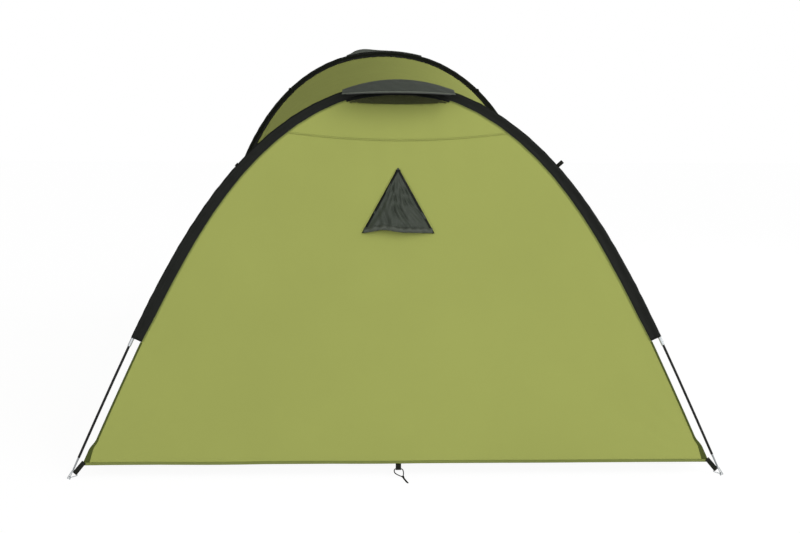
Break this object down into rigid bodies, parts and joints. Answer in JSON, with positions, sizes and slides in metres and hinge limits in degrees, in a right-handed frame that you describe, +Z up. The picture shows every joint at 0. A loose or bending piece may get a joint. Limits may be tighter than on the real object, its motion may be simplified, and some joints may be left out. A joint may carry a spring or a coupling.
{
  "type": "tunnel tent",
  "caption": "Free-standing fabric tunnel tent held open by two sleeved fibreglass hoops, with vent hoods, a zipped door and an inner bedroom.",
  "frame": {"origin": "on the ground at the middle of the whole tent's bounding box", "axes": "+Z up, +X across the tent, +Y from the rear wall to the door end"},
  "size_m": [2.473, 3.5943, 1.7734],
  "materials": {
    "fly_olive": "coated polyester taffeta, matt, pale olive",
    "hem_olive": "woven binding tape, darker olive",
    "sleeve_black": "plain black woven polyester",
    "hood_grey": "coated dark grey polyester",
    "mesh_black": "knitted fly mesh, open",
    "rod_black": "pultruded glass fibre, resin-rich, black",
    "ferrule_steel": "drawn steel tube, zinc plated",
    "pin_steel": "bent steel wire, zinc plated",
    "webbing_black": "woven polypropylene webbing and cord",
    "elastic_cord": "elastic cord with a woven cover",
    "zip_dark": "nylon coil on woven tape",
    "slider_metal": "die-cast zip slider, black enamel",
    "stiffener_plastic": "flat polypropylene strip in the hem",
    "toggle_plastic": "moulded toggle",
    "groundsheet_grey": "woven polyethylene sheet",
    "bedroom_cloth": "uncoated breathable polyester",
    "bedroom_tray": "coated polyethylene tray floor",
    "bedroom_mesh": "fine insect mesh"
  },
  "bodies": {
    "rear_hoop": {"rear_rods": "rod_black", "rear_ferrules": "ferrule_steel", "rear_pole_tips": "ferrule_steel", "rear_shock_cord": "elastic_cord", "rear_pins": "pin_steel", "rear_sleeve": "sleeve_black", "rear_top_panel": "fly_olive", "rear_wall": "fly_olive", "rear_hem": "hem_olive", "rear_vent_mesh": "mesh_black", "rear_vent_flap": "hood_grey", "rear_crown_mesh": "mesh_black", "rear_hood": "hood_grey", "rear_hood_stiffener": "stiffener_plastic"},
    "rear_guy_loop_left": {"rear_guy_loop_left": "webbing_black"},
    "rear_guy_loop_right": {"rear_guy_loop_right": "webbing_black"},
    "rear_peg_loop": {"rear_peg_loop": "webbing_black"},
    "front_hoop": {"front_rods": "rod_black", "front_ferrules": "ferrule_steel", "front_pole_tips": "ferrule_steel", "front_shock_cord": "elastic_cord", "front_pins": "pin_steel", "front_sleeve": "sleeve_black", "front_wall": "fly_olive", "front_hem": "hem_olive", "front_crown_mesh": "mesh_black", "front_hood": "hood_grey", "front_hood_stiffener": "stiffener_plastic", "wall_zip": "zip_dark", "door_toggles": "toggle_plastic"},
    "front_guy_loop_left": {"front_guy_loop_left": "webbing_black"},
    "front_guy_loop_right": {"front_guy_loop_right": "webbing_black"},
    "front_peg_loop": {"front_peg_loop": "webbing_black"},
    "door": {"door_panel": "fly_olive", "door_zip": "zip_dark"},
    "side_slider": {"side_zip_slider": "slider_metal"},
    "sill_slider": {"sill_zip_slider": "slider_metal"},
    "tent_base": {"roof_panel": "fly_olive", "left_side_panel": "fly_olive", "right_side_panel": "fly_olive", "side_hems": "hem_olive", "corner_webbing": "webbing_black", "corner_rings": "pin_steel", "groundsheet": "groundsheet_grey", "bedroom_floor": "bedroom_tray", "bedroom_left_wall": "bedroom_cloth", "bedroom_right_wall": "bedroom_cloth", "bedroom_roof": "bedroom_cloth", "bedroom_rear_wall": "bedroom_cloth", "bedroom_door": "bedroom_mesh", "bedroom_hangers": "elastic_cord"},
    "left_rear_peg_loop": {"left_rear_peg_loop": "webbing_black"},
    "left_front_peg_loop": {"left_front_peg_loop": "webbing_black"},
    "right_rear_peg_loop": {"right_rear_peg_loop": "webbing_black"},
    "right_front_peg_loop": {"right_front_peg_loop": "webbing_black"}
  },
  "joints": [
    {"name": "front_hoop_fold", "type": "hinge", "parent": "tent_base", "child": "front_hoop", "pos_m": [0, 1.6684, 0.0068], "axis": [1, 0, 0], "range_deg": [0, 88], "deforming": ["roof_panel", "left_side_panel", "right_side_panel", "side_hems", "bedroom_left_wall", "bedroom_right_wall", "bedroom_roof", "bedroom_rear_wall", "bedroom_door", "bedroom_hangers"]},
    {"name": "rear_hoop_fold", "type": "hinge", "parent": "tent_base", "child": "rear_hoop", "pos_m": [0, -1.7316, 0.0068], "axis": [1, 0, 0], "range_deg": [-77, 0]},
    {"name": "door_swing", "type": "hinge", "parent": "front_hoop", "child": "door", "pos_m": [-0.3808, 1.6703, 0.7], "axis": [0, 0, 1], "range_deg": [0, 150]},
    {"name": "side_slider_run", "type": "slide", "parent": "door", "child": "side_slider", "axis": [0, 0, 1], "range_m": [0, 0.92]},
    {"name": "sill_slider_run", "type": "slide", "parent": "door", "child": "sill_slider", "axis": [-1, 0, 0], "range_m": [0, 0.6]},
    {"name": "rear_guy_right_turn", "type": "hinge", "parent": "rear_hoop", "child": "rear_guy_loop_right", "pos_m": [0.6006, -1.5316, 1.1409], "axis": [0.6639, -0.1298, -0.7364], "range_deg": [-80, 80]},
    {"name": "rear_guy_left_turn", "type": "hinge", "parent": "rear_hoop", "child": "rear_guy_loop_left", "pos_m": [-0.6006, -1.5316, 1.1409], "axis": [0.6639, 0.1298, 0.7364], "range_deg": [0, 160]},
    {"name": "front_guy_left_turn", "type": "hinge", "parent": "front_hoop", "child": "front_guy_loop_left", "pos_m": [-0.632, 1.6684, 1.5203], "axis": [-0.7262, 0, -0.6875], "range_deg": [0, 160]},
    {"name": "front_guy_right_turn", "type": "hinge", "parent": "front_hoop", "child": "front_guy_loop_right", "pos_m": [0.632, 1.6684, 1.5203], "axis": [-0.7262, 0, 0.6875], "range_deg": [0, 160]},
    {"name": "rear_peg_turn", "type": "hinge", "parent": "rear_hoop", "child": "rear_peg_loop", "pos_m": [0, -1.7276, 0.05], "axis": [-1, 0, 0], "range_deg": [0, 110]},
    {"name": "front_peg_turn", "type": "hinge", "parent": "front_hoop", "child": "front_peg_loop", "pos_m": [0, 1.6724, 0.05], "axis": [1, 0, 0], "range_deg": [0, 110]},
    {"name": "left_rear_peg_turn", "type": "hinge", "parent": "tent_base", "child": "left_rear_peg_loop", "pos_m": [-1.1614, -0.9, 0.05], "axis": [0, 1, 0], "range_deg": [0, 110]},
    {"name": "left_front_peg_turn", "type": "hinge", "parent": "tent_base", "child": "left_front_peg_loop", "pos_m": [-1.1682, 0.9, 0.05], "axis": [0, 1, 0], "range_deg": [0, 110]},
    {"name": "right_rear_peg_turn", "type": "hinge", "parent": "tent_base", "child": "right_rear_peg_loop", "pos_m": [1.1614, -0.9, 0.05], "axis": [0, -1, 0], "range_deg": [0, 110]},
    {"name": "right_front_peg_turn", "type": "hinge", "parent": "tent_base", "child": "right_front_peg_loop", "pos_m": [1.1682, 0.9, 0.05], "axis": [0, -1, 0], "range_deg": [0, 110]}
  ],
  "couplings": [
    {"joint": "rear_hoop_fold", "follows": "front_hoop_fold", "ratio": -0.875}
  ]
}
